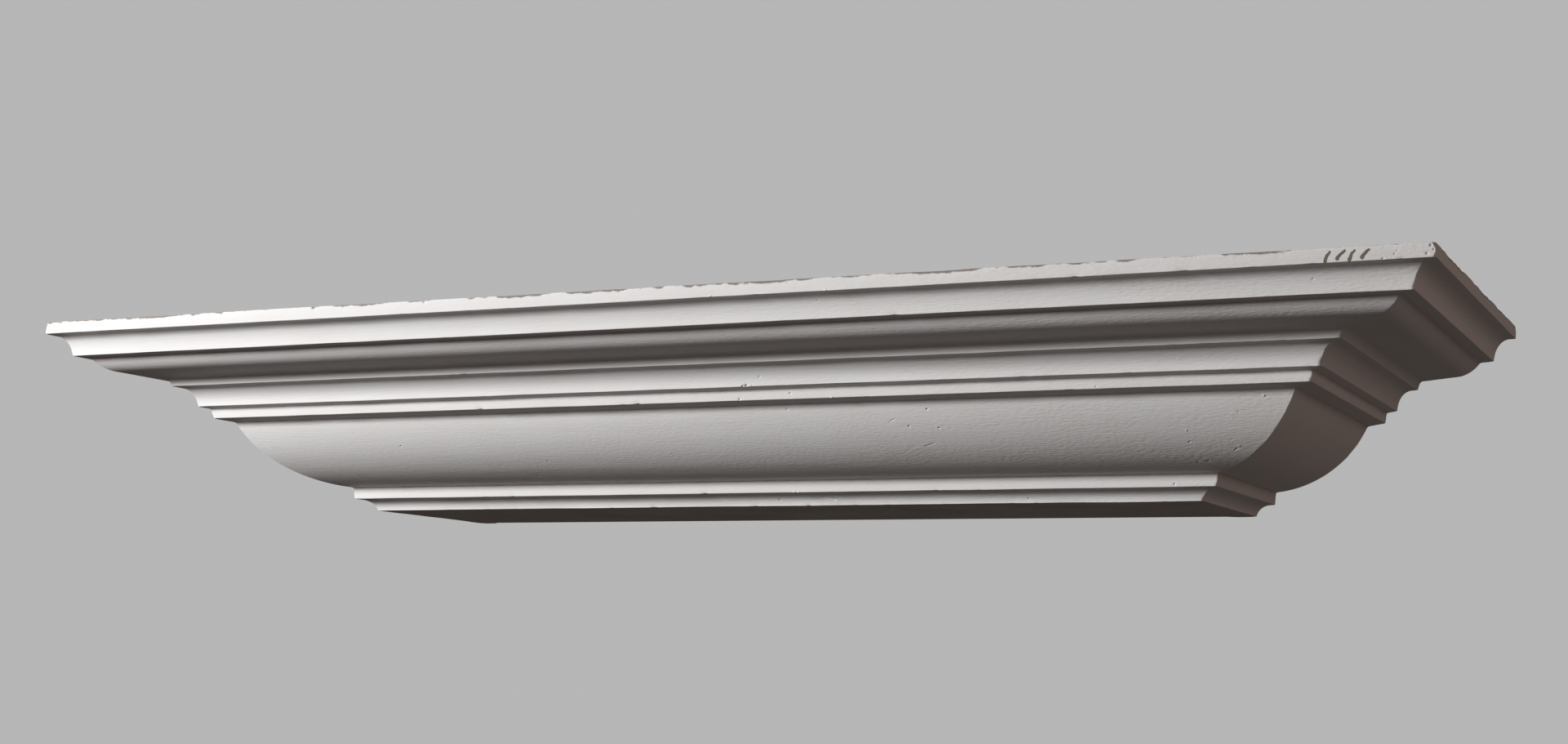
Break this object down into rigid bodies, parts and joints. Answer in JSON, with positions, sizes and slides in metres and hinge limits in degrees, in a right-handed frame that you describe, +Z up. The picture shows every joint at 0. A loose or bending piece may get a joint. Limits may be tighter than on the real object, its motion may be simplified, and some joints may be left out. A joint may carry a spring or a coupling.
{
  "type": "cornice",
  "caption": "Length of moulded plaster cornice: coves, fillets and a large ovolo under a deep soffit, mitred and returned to the wall at its ends, flat at the back, top and underside.",
  "frame": {"origin": "middle of the flat underside bed that the cornice rests on", "axes": "+X along the cornice's length, -Y out of the wall towards the front, +Z up"},
  "size_m": [1, 0.3259, 0.1285],
  "materials": {
    "cast_plaster": "bare white gypsum plaster, matt, with fine strike lines along the mouldings, small air bubbles and worn arrises"
  },
  "bodies": {
    "root": {"cornice": "cast_plaster"}
  },
  "joints": []
}
